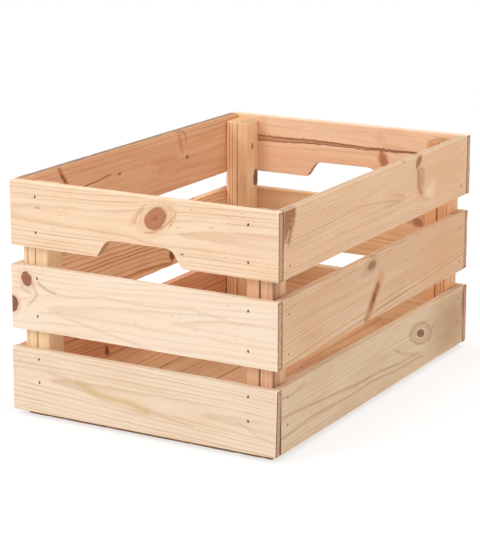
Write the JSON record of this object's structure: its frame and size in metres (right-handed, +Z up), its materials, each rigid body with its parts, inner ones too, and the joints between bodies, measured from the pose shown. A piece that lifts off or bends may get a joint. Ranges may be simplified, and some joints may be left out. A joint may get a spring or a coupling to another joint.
{
  "type": "slatted wooden crate",
  "caption": "Open-topped pine crate with slatted walls nailed to corner battens, a notched hand grip in each end, and a boarded floor on cross cleats.",
  "frame": {"origin": "on the ground under the crate's centre, level with the undersides of the floor cleats", "axes": "+Z up; Y along the crate's long side, with the front end panel and its hand grip at -Y and the back end panel at +Y; X across the crate, +X on the right seen from the front"},
  "size_m": [0.31, 0.46, 0.25],
  "materials": {
    "wall_pine": "planed, untreated",
    "batten_pine": "planed, untreated",
    "floor_pine": "planed, untreated",
    "nail_steel": "dull steel, sunk heads",
    "screw_steel": "zinc-plated steel"
  },
  "bodies": {
    "root": {"front_top_board": "wall_pine", "front_middle_board": "wall_pine", "front_bottom_board": "wall_pine", "back_top_board": "wall_pine", "back_middle_board": "wall_pine", "back_bottom_board": "wall_pine", "left_top_board": "wall_pine", "left_middle_board": "wall_pine", "left_bottom_board": "wall_pine", "right_top_board": "wall_pine", "right_middle_board": "wall_pine", "right_bottom_board": "wall_pine", "front_left_end_batten": "batten_pine", "front_left_side_batten": "batten_pine", "front_right_end_batten": "batten_pine", "front_right_side_batten": "batten_pine", "back_left_end_batten": "batten_pine", "back_left_side_batten": "batten_pine", "back_right_end_batten": "batten_pine", "back_right_side_batten": "batten_pine", "floor_board_left_outer": "floor_pine", "floor_board_left_inner": "floor_pine", "floor_board_right_inner": "floor_pine", "floor_board_right_outer": "floor_pine", "floor_cleat_front": "floor_pine", "floor_cleat_middle": "floor_pine", "floor_cleat_back": "floor_pine", "front_panel_nails": "nail_steel", "back_panel_nails": "nail_steel", "left_panel_nails": "nail_steel", "right_panel_nails": "nail_steel", "floor_nails": "nail_steel", "corner_screws": "screw_steel", "floor_screws": "screw_steel"}
  },
  "joints": []
}
